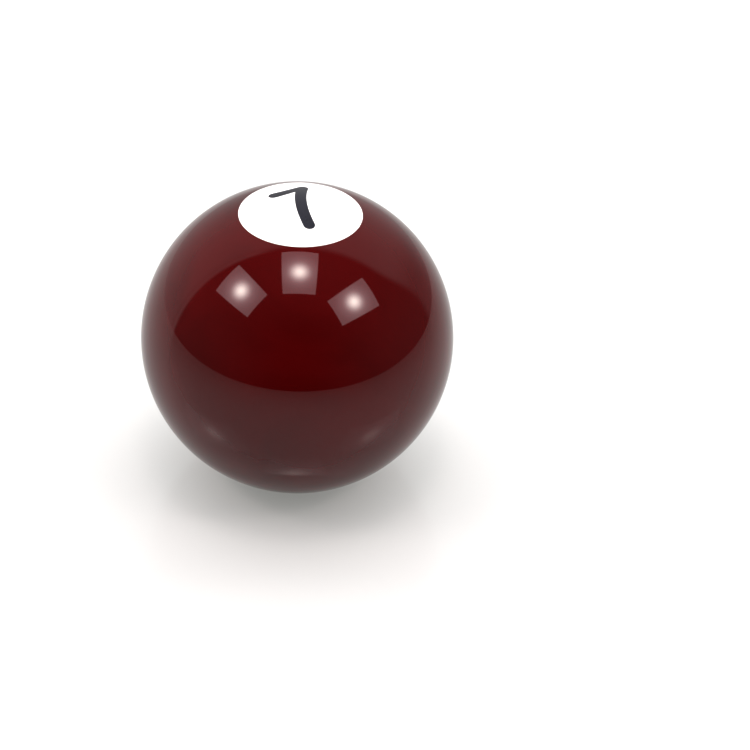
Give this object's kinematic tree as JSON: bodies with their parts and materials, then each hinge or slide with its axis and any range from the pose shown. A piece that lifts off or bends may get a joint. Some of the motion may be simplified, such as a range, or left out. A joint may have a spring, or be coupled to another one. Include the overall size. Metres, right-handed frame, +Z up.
{
  "type": "gear lever knob",
  "caption": "Numbered billiard ball drilled from below as a gear-lever knob, with a bonded brass insert and a screw-in reducing adapter for a threaded lever.",
  "frame": {"origin": "centre of the flat that the knob stands on, on the axis of the threads", "axes": "+Z up through the number disc; +Y away from the side that the figure 7 is seen from; +X to that viewer's right"},
  "size_m": [0.0572, 0.0572, 0.0559],
  "materials": {
    "maroon_resin": "polished cast phenolic resin, maroon",
    "white_resin": "polished cast phenolic resin, white",
    "black_resin": "polished cast phenolic resin, black",
    "insert_brass": "turned brass, faced end",
    "epoxy": "cured amber epoxy",
    "adapter_brass": "bright turned brass"
  },
  "bodies": {
    "adapter": {"lever_adapter": "adapter_brass"},
    "knob": {"ball_body": "maroon_resin", "number_disc": "white_resin", "numeral_seven": "black_resin", "threaded_insert": "insert_brass", "insert_bond": "epoxy"}
  },
  "joints": [
    {"name": "knob_unscrew", "type": "slide", "parent": "adapter", "child": "knob", "axis": [0, 0, 1], "range_m": [0, 0.02]}
  ]
}
